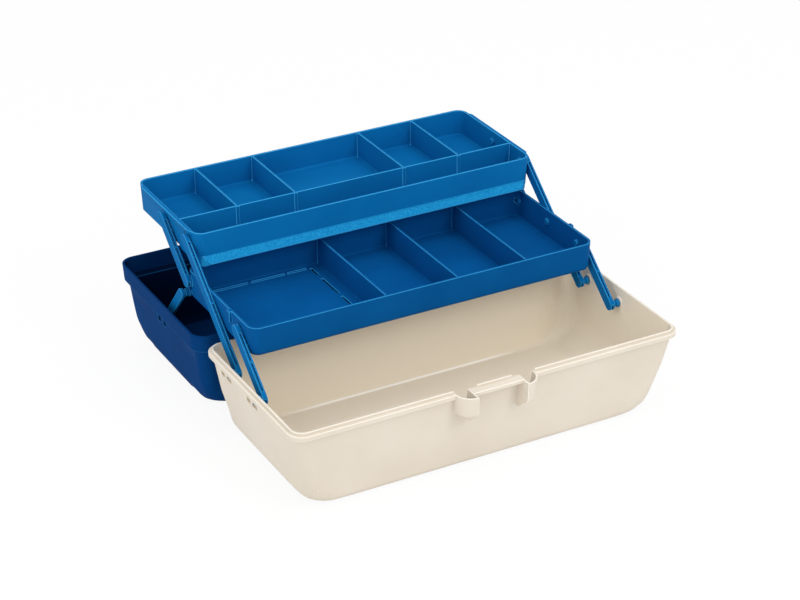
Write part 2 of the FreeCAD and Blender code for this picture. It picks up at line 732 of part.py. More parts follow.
def rim_bead():
    """Bead along the right end of the upper tray's rim, running out before the corners."""
    y0 = upper_front_y + upper_corner - 2.0
    y1 = upper_rear_y - upper_corner - 2.0
    inner = tray_half_x - 0.4
    outer = tray_half_x + upper_bead
    z = upper_top - upper_bead_height
    points = [(inner, y0), (outer, y0 + upper_bead_taper), (outer, y1 - upper_bead_taper), (inner, y1)]
    wire = Part.makePolygon([Vector(x, y, z) for x, y in points + [points[0]]])
    return Part.Face(wire).extrude(Vector(0, 0, upper_bead_height))


def make_skirt():
    """Flared band along the bottom of the upper tray's front."""
    low = upper_top - upper_trough_depth
    high = low + skirt_height
    wall_y = upper_front_y + tray_draft * (upper_trough_depth - skirt_height)
    toe_y = upper_front_y + tray_draft * upper_trough_depth - skirt_flare
    half = tray_half_x - tray_draft * upper_trough_depth
    points = [(wall_y + 0.1, high), (toe_y, low + 1.6), (toe_y + 1.6, low), (toe_y + 8.0, low), (wall_y + 1.2, high)]
    band = polygon_x(points, -half, half)
    depth = 4 * upper_corner
    plan = prism(half, depth / 2, upper_corner + skirt_flare, low - 1, high + 1, toe_y + depth / 2)
    return band.common(plan)


# ---- arms ----------------------------------------------------------------------------------------
def bar(length, half_width, x0, x1):
    """Round-ended bar along +Y from a pivot at the origin, as thick as x0 to x1."""
    shape = box(x0, x1, 0, length, -half_width, half_width)
    return shape.fuse([rod(half_width, x0, x1, 0, 0), rod(half_width, x0, x1, length, 0)])


def arm_bar(pivots):
    """Grooved arm along +Y; pivots lists the distances of its pivots from the first one."""
    length = pivots[-1]
    shape = bar(length, arm_half_width, arm_inner_x, arm_outer_x)
    middle = (arm_inner_x + arm_outer_x) / 2
    gx0 = middle - groove_width / 2
    gx1 = middle + groove_width / 2
    reach = arm_half_width + 1.0
    floor = arm_half_width - groove_depth
    stops = [groove_end, length - groove_end]
    rib_at = length / 2
    spans = [(stops[0], rib_at - groove_rib / 2), (rib_at + groove_rib / 2, stops[1])]
    cuts = []
    for y0, y1 in spans:
        cuts.append(box(gx0, gx1, y0, y1, floor, reach))
        cuts.append(box(gx0, gx1, y0, y1, -reach, -floor))
    cuts.append(box(gx0, gx1, -reach, -tip_notch, -reach, reach))
    cuts.append(box(gx0, gx1, length + tip_notch, length + reach, -reach, reach))
    return shape.cut(cuts)


def placed(shape, pivot, angle):
    """Turn a bar drawn along +Y up by an angle and put its first pivot in place."""
    shape.rotate(Vector(0, 0, 0), Vector(1, 0, 0), angle)
    shape.translate(Vector(0, pivot[0], pivot[1]))
    return shape


def tub_pin(z):
    """Pin from an arm out to its socket in the tub's end wall, with a collar at each end."""
    face = tub_bowl.half_length(z, tub_wall) - socket_pad
    neck = rod(pin_radius, arm_outer_x - 0.5, face + socket_depth - socket_floor, 0, 0)
    collar = rod(pin_collar_radius, face - arm_gap - pin_collar_length, face - arm_gap, 0, 0)
    knob = rod(pin_head_radius, arm_outer_x - 0.5, arm_outer_x + pin_knob_length, 0, 0)
    return neck.fuse([collar, knob])


def tray_pin(depth_below_rim, y):
    """Snap pin from an arm in through a tray's end wall, with its head inside."""
    face_x = tray_half_x - tray_draft * depth_below_rim - tray_wall
    head_x = face_x - 0.35
    neck = rod(pin_radius, head_x - pin_head_length, arm_inner_x + 0.5, y, 0)
    head = Part.makeCone(pin_radius * 0.8, pin_head_radius, pin_head_length,
                         Vector(head_x - pin_head_length, y, 0), Vector(1, 0, 0))
    return neck.fuse(head)


def make_long_arm():
    shape = arm_bar((0.0, arm_reach, 2 * arm_reach))
    pins = [tub_pin(tub_rear_pivot[1]), tray_pin(lower_rim, arm_reach), tray_pin(upper_rim, 2 * arm_reach)]
    return cleaned(placed(shape.fuse(pins), tub_rear_pivot, open_angle))


def make_front_arm():
    shape = arm_bar((0.0, arm_reach))
    pins = [tub_pin(tub_front_pivot[1]), tray_pin(lower_rim, arm_reach)]
    return cleaned(placed(shape.fuse(pins), tub_front_pivot, open_angle))


def make_short_arm():
    shape = arm_bar((0.0, arm_reach))
    pins = [tray_pin(lower_rim, 0.0), tray_pin(upper_rim, arm_reach)]
    return cleaned(placed(shape.fuse(pins), short_foot_pivot, open_angle))


def make_lid_link():
    run_y = link_tray_pivot[0] - link_lid_pivot[0]
    run_z = link_tray_pivot[1] - link_lid_pivot[1]
    length = math.hypot(run_y, run_z)
    angle = math.degrees(math.atan2(run_z, run_y))
    shape = bar(length, link_half_width, link_inner_x, link_outer_x)
    dish = box(link_inner_x - 1, link_inner_x + 0.8, link_half_width + 3, length - link_half_width - 3,
               -link_half_width + 1.6, link_half_width - 1.6)
    end = link_outer_x + arm_gap + link_socket_depth - socket_floor
    pin = rod(link_pin_radius, link_outer_x - 0.5, end, 0, 0)
    return cleaned(placed(shape.cut(dish).fuse(pin), link_lid_pivot, angle))


def make_link_stud():
    """Shouldered stud in a boss at the lower tray's rear corner, for the lid link's free end."""
    y, z = link_tray_pivot
    end = link_inner_x - 0.3
    shank = rod(link_stud_radius, stud_bore_floor() + 0.3, end, y, z)
    flange = rod(link_stud_radius + stud_flange, tray_half_x + 0.2, end - 1.6, y, z)
    return cleaned(shank.fuse(flange))


# ---- hinge pins, latch and handle ----------------------------------------------------------------
def make_hinge_pin(station):
    half = 1.5 * knuckle_length - 0.2
    return rod(hinge_pin_radius, station - half, station + half, hinge_y, hinge_z)


def latch_half():
    return guard_inner_x - latch_side_gap


def latch_pin_end():
    return guard_inner_x + guard_wall + 1.5


def make_latch():
    """Latch flap hanging from its pin outside the open lid; turned half round it hooks the catch."""
    half = latch_half()
    y0 = latch_y
    z0 = latch_z
    barrel = rod(latch_barrel_radius, -half, half, y0, z0)
    # catch edge and underside seen from the lid: half a turn about the hinge, then about the pin
    catch_edge = 2 * hinge_y + tub_half_y + catch_reach
    catch_under = 2 * hinge_z - (ledge_z - catch_thickness - 0.8)
    plate_y = 2 * y0 - (catch_edge + latch_gap)
    hook_z = 2 * z0 - (catch_under + latch_gap)
    low = hook_z - latch_hook_thickness - latch_lip
    plate = box(-half, half, plate_y - latch_plate, plate_y, low, z0)
    top = polygon_x([(plate_y - latch_plate, z0), (plate_y, z0 - 1.0), (y0, z0 - latch_barrel_radius),
                     (y0, z0 + latch_barrel_radius)], -half, half)
    hook = polygon_x([(plate_y - 0.2, hook_z), (plate_y + latch_hook, hook_z), (plate_y + latch_hook, hook_z - 0.8),
                      (plate_y - 0.2, hook_z - latch_hook_thickness)], -half, half)
    lip = polygon_x([(plate_y - latch_plate + 0.2, low), (plate_y, low), (plate_y - 2.6, low - 4.2),
                     (plate_y - 5.0, low - 4.2)], -half, half)
    shape = barrel.fuse([plate, top, hook, lip])
    return cleaned(shape.cut(rod(latch_pin_radius + pin_fit, -half - 1, half + 1, y0, z0)))


def make_latch_pin():
    end = latch_pin_end() - 0.2
    return rod(latch_pin_radius, -end, end, latch_y, latch_z)


def handle_pivot():
    """Pivot of the handle: near the recess edge that lies nearer the box's middle."""
    middle, z = handle_place()
    return middle - recess_width / 2 + handle_gap + handle_thickness / 2 + handle_play, z


def handle_bores():
    y, z = handle_pivot()
    reach = recess_half_x + handle_pin_length
    return [rod(handle_pin_radius + pin_fit, -reach, reach, y, z)]


def make_handle():
    """Flat bail that lies in the recess; its ears end round about the pivot and carry a stub each."""
    y, z = handle_pivot()
    half = recess_half_x - handle_gap
    far = handle_place()[0] + recess_width / 2 - handle_gap
    round_end = handle_thickness / 2 - handle_play
    z0 = z - round_end
    z1 = z + round_end
    near = y - 2 * handle_corner
    outline = prism(half, (far - near) / 2, handle_corner, z0, z1, (far + near) / 2)
    gap_y1 = far - handle_grip
    hole = prism(half - handle_ear, (gap_y1 - near) / 2 + handle_corner, 4.0, z0 - 1, z1 + 1,
                 (near + gap_y1) / 2 - handle_corner)
    shape = outline.cut([hole, box(-half - 1, half + 1, near - 1, y, z0 - 1, z1 + 1)])
    end = recess_half_x + handle_pin_length - 0.3
    for side in (-1, 1):
        x0, x1 = sorted((side * (half - handle_ear), side * half))
        ear = rod(round_end, x0, x1, y, z)
        x0, x1 = sorted((side * (half - 2.0), side * end))
        shape = shape.fuse([ear, rod(handle_pin_radius, x0, x1, y, z)])
    return cleaned(shape)


# ---- write the pieces ----------------------------------------------------------------------------
def build():
    long_arm = make_long_arm()
    front_arm = make_front_arm()
    short_arm = make_short_arm()
    link = make_lid_link()
    stud = make_link_stud()
    return {
        "base_tub": make_tub(),
        "lid": make_lid(),
        "lower_tray": make_lower_tray(),
        "upper_tray": make_upper_tray(),
        "long_arm_right": long_arm,
        "long_arm_left": both_sides(long_arm),
        "front_arm_right": front_arm,
        "front_arm_left": both_sides(front_arm),
        "short_arm_right": short_arm,
        "short_arm_left": both_sides(short_arm),
        "lid_link_right": link,
        "lid_link_left": both_sides(link),
        "link_stud_right": stud,
        "link_stud_left": both_sides(stud),
        "hinge_pin_right": make_hinge_pin(hinge_station_x),
        "hinge_pin_left": make_hinge_pin(-hinge_station_x),
        "latch": make_latch(),
        "latch_pin": make_latch_pin(),
        "handle": make_handle(),
    }


os.makedirs("parts", exist_ok=True)
for name, shape in build().items():
    shape.exportStep("parts/" + name + ".step")
    box_size = shape.BoundBox
    print(name, "solids", len(shape.Solids), "valid", shape.isValid(), "volume %.0f" % shape.Volume,
          "x %.1f..%.1f y %.1f..%.1f z %.1f..%.1f" % (box_size.XMin, box_size.XMax, box_size.YMin,
                                                       box_size.YMax, box_size.ZMin, box_size.ZMax))
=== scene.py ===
import bmesh
import bpy
import json
import math
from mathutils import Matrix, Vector


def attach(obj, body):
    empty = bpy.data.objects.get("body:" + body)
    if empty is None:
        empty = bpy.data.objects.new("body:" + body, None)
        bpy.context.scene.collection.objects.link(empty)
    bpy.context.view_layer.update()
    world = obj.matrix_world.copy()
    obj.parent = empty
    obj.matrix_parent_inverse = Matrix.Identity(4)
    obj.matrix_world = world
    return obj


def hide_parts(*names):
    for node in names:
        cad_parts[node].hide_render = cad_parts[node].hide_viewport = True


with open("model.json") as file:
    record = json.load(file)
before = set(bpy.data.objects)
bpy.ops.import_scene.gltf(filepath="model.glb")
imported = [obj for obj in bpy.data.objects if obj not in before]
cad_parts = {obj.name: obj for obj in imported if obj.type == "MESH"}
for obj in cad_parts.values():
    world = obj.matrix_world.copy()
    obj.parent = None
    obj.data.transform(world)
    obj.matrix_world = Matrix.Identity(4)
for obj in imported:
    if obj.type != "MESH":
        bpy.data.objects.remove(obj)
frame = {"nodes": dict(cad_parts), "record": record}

scene = bpy.context.scene
nodes = frame["nodes"]
bodyOf = {name: body for body, names in frame["record"]["behaviour"]["bodies"].items() for name in names}
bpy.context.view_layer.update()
print("frame loaded,", len(nodes), "nodes")


def linear(hexColour):
    # sRGB hex to the linear colour a shader socket takes
    parts = [int(hexColour[i:i + 2], 16) / 255 for i in (1, 3, 5)]
    return tuple(p / 12.92 if p <= 0.04045 else ((p + 0.055) / 1.055) ** 2.4 for p in parts) + (1.0,)


def metres(millimetres):
    return millimetres / 1000.0


def perMillimetre(size):
    # noise scale whose features are about this many millimetres across
    return 1000.0 / size


def addNode(tree, kind, settings=None, links=None):
    # settings go to sockets by name or number, else to attributes; links come from other nodes' sockets
    node = tree.nodes.new(kind)
    for key, value in (settings or {}).items():
        if isinstance(key, int) or key in node.inputs:
            node.inputs[key].default_value = value
        else:
            setattr(node, key, value)
    for key, source in (links or {}).items():
        tree.links.new(source, node.inputs[key])
    return node


def newMaterial(name):
    material = bpy.data.materials.new(name)
    material.use_nodes = True
    material.node_tree.nodes.clear()
    return material, material.node_tree


def mixed(tree, factor, first, second):
    # colour mix; factor, first and second are sockets or constants
    node = addNode(tree, "ShaderNodeMix", {"data_type": "RGBA"})
    for index, value in ((0, factor), (6, first), (7, second)):
        if isinstance(value, bpy.types.NodeSocket):
            tree.links.new(value, node.inputs[index])
        else:
            node.inputs[index].default_value = value
    return node.outputs[2]


# Injection-moulded polypropylene, satin from a fine spark-eroded mould: an even colour with faint
# cloudy flow, soft broad highlights and a stipple of about half a millimetre that only shows close up.
# the edge tone is a painted highlight on the rounded edges; the inside tone is painted light and shade on the open
# box's inner faces, lighter on the cream tub and darker on the navy lid;
# the valley tone is a painted highlight along the floor's fillet, full up to one place in X and gone at the other,
# in mm;
# the recess tone is painted shade in the bottoms of the window recesses.
mouldedPlastic = {
    "cream": {"colour": "#DDD4C6", "flow": "#D8CEBE", "edge": "#F2ECE1", "inside": "#EBE0CD", "recessShade": "#AFA48F",
              "valleyHighlight": "#FEF9F0", "valleyHighlightFull": 95.0, "valleyHighlightEnd": 127.5, "rough": 0.50, "specular": 0.22},
    "navy": {"colour": "#083E78", "flow": "#06376D", "edge": "#1B6199", "inside": "#042348",
             "rough": 0.50, "specular": 0.006},
    "blue": {"colour": "#0A6CAB", "flow": "#0964A2", "edge": "#3BA4DC", "rough": 0.46, "specular": 0.012},
    "deepBlue": {"colour": "#08599A", "flow": "#07518F", "edge": "#2F90CA", "rough": 0.44, "specular": 0.010},
}
# sizes of the pattern in mm, and how strongly it is raised
plasticGrain = {"stipple": 0.55, "stippleHeight": 0.1, "stippleStrength": 0.12, "flow": 70.0,
                "flowFrom": 0.35, "flowTo": 0.65, "smoother": 0.04, "rougher": 0.06, "refraction": 1.49}
# the coarse band under the upper tray's front, in mm: below a height and forward of a place in Y
upperBand = {"top": 151.2, "behind": 148.0, "fade": 1.2, "grain": 1.6, "height": 0.4, "strength": 0.5,
             "speckFrom": 0.3, "speckTo": 0.7, "dark": "#0A78B8", "light": "#2AA6DE"}


def polypropylene(name, look, tone="colour", band=None):
    material, tree = newMaterial(name)
    grain = plasticGrain
    place = addNode(tree, "ShaderNodeTexCoord").outputs["Object"]
    flow = addNode(tree, "ShaderNodeTexNoise", {"Scale": perMillimetre(grain["flow"]), "Detail": 3.0},
                   {"Vector": place})
    share = addNode(tree, "ShaderNodeMapRange", {"From Min": grain["flowFrom"], "From Max": grain["flowTo"]},
                    {"Value": flow.outputs["Fac"]})
    # the tones other than colour are painted light and shade: edge and valley are painted highlights, inside is
    # painted light on cream and painted shade on navy, recess is painted shade
    colour = mixed(tree, share.outputs["Result"], linear(look["flow" if tone == "colour" else tone]),
                   linear(look[tone]))
    # the valley tone, a painted highlight, fades out into the inside tone between two places in X
    if tone == "valleyHighlight":
        axes = addNode(tree, "ShaderNodeSeparateXYZ", {}, {"Vector": place})
        away = addNode(tree, "ShaderNodeMath", {"operation": "ABSOLUTE"}, {0: axes.outputs["X"]})
        fade = addNode(tree, "ShaderNodeMapRange",
                       {"From Min": metres(look["valleyHighlightEnd"]), "From Max": metres(look["valleyHighlightFull"])},
                       {"Value": away.outputs["Value"]})
        colour = mixed(tree, fade.outputs["Result"], linear(look["inside"]), colour)
    stipple = addNode(tree, "ShaderNodeTexNoise", {"Scale": perMillimetre(grain["stipple"]), "Detail": 2.0},
                      {"Vector": place})
    bump = addNode(tree, "ShaderNodeBump",
                   {"Strength": grain["stippleStrength"], "Distance": metres(grain["stippleHeight"])},
                   {"Height": stipple.outputs["Fac"]})
    if band:
        axes = addNode(tree, "ShaderNodeSeparateXYZ", {}, {"Vector": place})
        fades = [addNode(tree, "ShaderNodeMapRange",
                         {"From Min": metres(band[limit] + band["fade"]), "From Max": metres(band[limit])},
                         {"Value": axes.outputs[axis]}).outputs["Result"]
                 for axis, limit in (("Z", "top"), ("Y", "behind"))]
        both = addNode(tree, "ShaderNodeMath", {"operation": "MULTIPLY"}, {0: fades[0], 1: fades[1]})
        inBand = both.outputs["Value"]
        coarse = addNode(tree, "ShaderNodeTexNoise", {"Scale": perMillimetre(band["grain"]), "Detail": 4.0,
                                                      "Roughness": 0.7}, {"Vector": place})
        height = addNode(tree, "ShaderNodeMath", {"operation": "MULTIPLY"}, {0: coarse.outputs["Fac"], 1: inBand})
        bump = addNode(tree, "ShaderNodeBump", {"Strength": band["strength"], "Distance": metres(band["height"])},
                       {"Height": height.outputs["Value"], "Normal": bump.outputs["Normal"]})
        speck = addNode(tree, "ShaderNodeMapRange", {"From Min": band["speckFrom"], "From Max": band["speckTo"]},
                        {"Value": coarse.outputs["Fac"]})
        bandColour = mixed(tree, speck.outputs["Result"], linear(band["dark"]), linear(band["light"]))
        colour = mixed(tree, inBand, colour, bandColour)
    rough = addNode(tree, "ShaderNodeMapRange", {"To Min": look["rough"] - grain["smoother"],
                                                 "To Max": look["rough"] + grain["rougher"]},
                    {"Value": flow.outputs["Fac"]})
    shader = addNode(tree, "ShaderNodeBsdfPrincipled",
                     {"IOR": grain["refraction"], "Specular IOR Level": look["specular"]},
                     {"Base Color": colour, "Roughness": rough.outputs["Result"], "Normal": bump.outputs["Normal"]})
    addNode(tree, "ShaderNodeOutputMaterial", {}, {"Surface": shader.outputs["BSDF"]})
    return material


creamPolypropylene = polypropylene("creamPolypropylene", mouldedPlastic["cream"])
# The Edge copies carry a painted highlight for rounded edges, Inside painted light for the inner faces, Fillet a
# painted highlight along the floor fillet and Recess painted shade for the window recesses.
creamEdgeHighlight = polypropylene("creamPolypropyleneEdgeHighlight", mouldedPlastic["cream"], "edge")
creamInsideLight = polypropylene("creamPolypropyleneInsideLight", mouldedPlastic["cream"], "inside")
creamValleyHighlight = polypropylene("creamPolypropyleneFilletHighlight", mouldedPlastic["cream"], "valleyHighlight")
creamRecessShade = polypropylene("creamPolypropyleneRecessShade", mouldedPlastic["cream"], "recessShade")
navyPolypropylene = polypropylene("navyPolypropylene", mouldedPlastic["navy"])
# The navy Edge copy carries a painted highlight for rounded edges and Inside painted shade for the lid's inner
# faces.
navyEdgeHighlight = polypropylene("navyPolypropyleneEdgeHighlight", mouldedPlastic["navy"], "edge")
navyInsideShade = polypropylene("navyPolypropyleneInsideShade", mouldedPlastic["navy"], "inside")
bluePolypropylene = polypropylene("bluePolypropylene", mouldedPlastic["blue"])
# The blue Edge copies carry a painted highlight for rounded edges.
blueEdgeHighlight = polypropylene("bluePolypropyleneEdgeHighlight", mouldedPlastic["blue"], "edge")
bandedPolypropylene = polypropylene("bandedPolypropylene", mouldedPlastic["blue"], "colour", upperBand)
deepBluePolypropylene = polypropylene("deepBluePolypropylene", mouldedPlastic["deepBlue"])
deepBlueEdgeHighlight = polypropylene("deepBluePolypropyleneEdgeHighlight", mouldedPlastic["deepBlue"], "edge")

# Drawn steel rod, cut and left bright: grey mirror broken into fine lines along its length.
steelRod = {"colour": "#B9BCC0", "smoothest": 0.22, "roughest": 0.40, "line": 0.4, "stretch": 80.0}


def drawnSteel(name, look):
    material, tree = newMaterial(name)
    place = addNode(tree, "ShaderNodeTexCoord").outputs["Object"]
    across = perMillimetre(look["line"])
    stretch = addNode(tree, "ShaderNodeMapping", {"Scale": (across / look["stretch"], across, across)},
                      {"Vector": place})
    lines = addNode(tree, "ShaderNodeTexNoise", {"Scale": 1.0, "Detail": 2.0}, {"Vector": stretch.outputs["Vector"]})
    rough = addNode(tree, "ShaderNodeMapRange", {"To Min": look["smoothest"], "To Max": look["roughest"]},
                    {"Value": lines.outputs["Fac"]})
    shader = addNode(tree, "ShaderNodeBsdfPrincipled", {"Base Color": linear(look["colour"]), "Metallic": 1.0},
                     {"Roughness": rough.outputs["Result"]})
    addNode(tree, "ShaderNodeOutputMaterial", {}, {"Surface": shader.outputs["BSDF"]})
    return material


drawnSteelRod = drawnSteel("drawnSteelRod", steelRod)
print("materials made")


def activate(obj):
    bpy.ops.object.select_all(action="DESELECT")
    obj.select_set(True)
    bpy.context.view_layer.objects.active = obj


# The four lower corners of tub and lid, in mm and degrees: inside a box from these places the creases where
# end and side meet are cut finer and smoothed, both faces of the wall alike, and the change fades out at reach
# from the crease.
lowerCorners = {"fromX": 128.0, "fromY": 42.0, "top": 52.0, "creaseAngle": 11.0, "downward": -0.12, "facet": 3.2,
                "cuts": 9, "passes": 70, "strength": 0.5, "reach": 30.0, "fade": 22.0, "slack": 0.01,
                "onPlane": 0.001}


def nearestDistance(place, segments):
    best = 1.0
    for start, end in segments:
        along = end - start
        share = min(1.0, max(0.0, (place - start).dot(along) / along.length_squared))
        best = min(best, (place - start - along * share).length)
    return best


def roundLowerCorners(piece, look, middleY):
    mesh = bmesh.new()
    mesh.from_mesh(piece.data)
    fromX, fromY, top = metres(look["fromX"]), metres(look["fromY"]), metres(look["top"])
    slack, reach, fade = metres(look["slack"]), metres(look["reach"]), metres(look["fade"])
    for signX, signY in ((-1, -1), (-1, 1), (1, -1), (1, 1)):

        def within(place, margin=0.0):
            return (place.x * signX > fromX - margin and (place.y - middleY) * signY > fromY - margin
                    and place.z < top + margin)

        for origin, normal in (((fromX * signX, 0, 0), (1, 0, 0)), ((0, middleY + fromY * signY, 0), (0, 1, 0)),
                               ((0, 0, top), (0, 0, 1))):
            touched = [face for face in mesh.faces
                       if max(vertex.co.x * signX for vertex in face.verts) > fromX
                       and max((vertex.co.y - middleY) * signY for vertex in face.verts) > fromY
                       and min(vertex.co.z for vertex in face.verts) < top]
            edges = list(dict.fromkeys(edge for face in touched for edge in face.edges))
            vertices = list(dict.fromkeys(vertex for face in touched for vertex in face.verts))
            bmesh.ops.bisect_plane(mesh, geom=touched + edges + vertices, dist=metres(look["onPlane"]),
                                   plane_co=origin, plane_no=normal)
        mesh.normal_update()
        segments = [tuple(vertex.co.copy() for vertex in edge.verts) for edge in mesh.edges
                    if len(edge.link_faces) == 2 and all(within(vertex.co) for vertex in edge.verts)
                    and edge.calc_face_angle_signed(0.0) > math.radians(look["creaseAngle"])
                    and (edge.link_faces[0].normal + edge.link_faces[1].normal).normalized().z < look["downward"]]
        for cut in range(look["cuts"]):
            inBox = {vertex for vertex in mesh.verts if within(vertex.co, slack)}
            bmesh.ops.triangulate(mesh, faces=[face for face in mesh.faces
                                               if len(face.verts) > 3 and inBox.issuperset(face.verts)])
            coarse = [edge for edge in mesh.edges
                      if inBox.issuperset(edge.verts) and edge.calc_length() > metres(look["facet"])]
            if not coarse:
                break
            bmesh.ops.subdivide_edges(mesh, edges=coarse, cuts=1)
        loose = [vertex for vertex in mesh.verts if within(vertex.co, -slack)]
        before = [vertex.co.copy() for vertex in loose]
        for smoothing in range(look["passes"]):
            bmesh.ops.smooth_vert(mesh, verts=loose, factor=look["strength"],
                                  use_axis_x=True, use_axis_y=True, use_axis_z=True)
        for vertex, place in zip(loose, before):
            share = min(1.0, max(0.0, (reach - nearestDistance(place, segments)) / fade))
            vertex.co = place.lerp(vertex.co, share * share * (3 - 2 * share))
    mesh.to_mesh(piece.data)
    mesh.free()


# The materials of a moulding's copy, in the order of its slots: the plain plastic, then the painted edge highlight,
# the inside tone of painted light and shade, the painted floor-fillet highlight and the painted recess shade.
plasticSlots = ("plastic", "edgeHighlightPlastic", "insidePlastic", "valleyHighlightPlastic", "recessShadePlastic")


def paintInsideShading(piece, look):
    # faces that look into the moulding get the inside tone, painted light on the cream tub and painted shade on the
    # navy lid; the fillets along its floor get a painted highlight and the bottoms of its window recesses painted
    # shade
    middleY = metres(look["middleY"])
    low, high = (metres(height) for height in look["height"])
    for face in piece.data.polygons:
        middle, normal = face.center, face.normal
        aside = abs(middle.y - middleY)
        inward = normal.x * middle.x + normal.y * (middle.y - middleY)
        looksIn = inward < -look["inward"] * aside or normal.z > look["upward"]
        # inner faces get the inside tone: painted light on the cream tub, painted shade on the navy lid
        if low < middle.z < high and aside < metres(look["reachY"]) and looksIn:
            face.material_index = plasticSlots.index("insidePlastic")
        # faces along the floor fillet get a painted highlight
        valleyHighlight = look.get("valleyHighlight")
        if (valleyHighlight and middle.z < metres(valleyHighlight["top"]) and aside > metres(valleyHighlight["fromY"])
                and abs(middle.x) < metres(valleyHighlight["toX"]) and valleyHighlight["slope"][0] < normal.z < valleyHighlight["slope"][1]
                and abs(normal.y) > valleyHighlight["across"] and inward < 0):
            face.material_index = plasticSlots.index("valleyHighlightPlastic")
        # bottoms of the window recesses get painted shade
        window = look.get("window")
        if (window and window["area"][0] < face.area * 1e6 < window["area"][1] and abs(normal.x) > window["endward"]
                and metres(window["height"][0]) < middle.z < metres(window["height"][1])):
            face.material_index = plasticSlots.index("recessShadePlastic")


# How sharp edges are rounded, in mm, mm2 and degrees. The two named miss say when the rounding has run over a
# face, and those named same say which face of the plain mesh it was.
softening = {"merge": 0.004, "sharpAngle": 32.0, "segments": 2, "smoothAngle": 30.0, "tries": 4,
             "missArea": 0.6, "missShare": 0.01, "sameNormal": 0.9995, "samePlane": 0.2, "samePlace": 60.0,
             "sameArea": 0.5}


def weighEdges(piece, outwardOnly):
    # every sharp edge is to be rounded, or only the outward ones
    mesh = bmesh.new()
    mesh.from_mesh(piece.data)
    weight = mesh.edges.layers.float.new("bevel_weight_edge")
    sharp = math.radians(softening["sharpAngle"])
    for edge in mesh.edges:
        if len(edge.link_faces) == 2:
            turn = edge.calc_face_angle_signed(0.0)
            edge[weight] = float(turn > sharp or (turn < -sharp and not outwardOnly))
    mesh.to_mesh(piece.data)
    mesh.free()


def troubledFaces(data):
    # faces whose triangles do not add up to their area, because the rounding has run over itself there
    data.calc_loop_triangles()
    filled = {}
    for triangle in data.loop_triangles:
        filled[triangle.polygon_index] = filled.get(triangle.polygon_index, 0.0) + triangle.area
    return [(face.normal.copy(), face.center.copy(), face.area) for face in data.polygons
            if abs(filled.get(face.index, 0.0) - face.area)
            > max(softening["missArea"] / 1e6, softening["missShare"] * face.area)]


def freeEdges(data, troubled):
    # the edges around these faces stay as they are
    mesh = bmesh.new()
    mesh.from_mesh(data)
    weight = mesh.edges.layers.float.get("bevel_weight_edge")
    for face in mesh.faces:
        centre = face.calc_center_median()
        for normal, place, area in troubled:
            if (face.normal.dot(normal) > softening["sameNormal"]
                    and abs((centre - place).dot(normal)) < metres(softening["samePlane"])
                    and (centre - place).length < metres(softening["samePlace"])
                    and face.calc_area() > softening["sameArea"] * area):
                for edge in face.edges:
                    edge[weight] = 0.0
    mesh.to_mesh(data)
    mesh.free()


def roundEdges(piece, radius):
    # where the rounding runs over itself it is undone and made again without the edges around that face
    for attempt in range(softening["tries"]):
        plain = piece.data.copy()
        bevel = piece.modifiers.new("edge", "BEVEL")
        bevel.width = metres(radius)
        bevel.segments = softening["segments"]
        bevel.limit_method = "WEIGHT"
        # the rounded faces take the edge slot, a painted highlight on all but the handle
        bevel.material = plasticSlots.index("edgeHighlightPlastic")
        bevel.use_clamp_overlap = False
        bevel.loop_slide = False
        bpy.ops.object.modifier_apply(modifier=bevel.name)
        troubled = troubledFaces(piece.data)
        if not troubled or attempt == softening["tries"] - 1:
            break
        freeEdges(plain, troubled)
        piece.data = plain


def softened(nodeName, look):
    # a merged copy of a moulding with its sharp edges rounded as the mould leaves them
    piece = bpy.data.objects.new(look["piece"], nodes[nodeName].data.copy())
    scene.collection.objects.link(piece)
    activate(piece)
    piece.data.materials.clear()
    for slot in plasticSlots:
        piece.data.materials.append(look.get(slot, look["plastic"]))
    bpy.ops.object.mode_set(mode="EDIT")
    bpy.ops.mesh.select_all(action="SELECT")
    bpy.ops.mesh.remove_doubles(threshold=metres(softening["merge"]))
    bpy.ops.mesh.dissolve_limited(angle_limit=math.radians(look["flat"]))
    bpy.ops.object.mode_set(mode="OBJECT")
    if "corners" in look:
        roundLowerCorners(piece, look["corners"], metres(look["inside"]["middleY"]))
    if "inside" in look:
        paintInsideShading(piece, look["inside"])
    weighEdges(piece, look.get("outwardOnly", False))
    roundEdges(piece, look["edge"])
    bpy.ops.object.shade_smooth_by_angle(angle=math.radians(softening["smoothAngle"]))
    weighted = piece.modifiers.new("even", "WEIGHTED_NORMAL")
    weighted.keep_sharp = True
    bpy.ops.object.modifier_apply(modifier=weighted.name)
    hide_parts(nodeName)
    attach(piece, bodyOf[nodeName])
    return piece


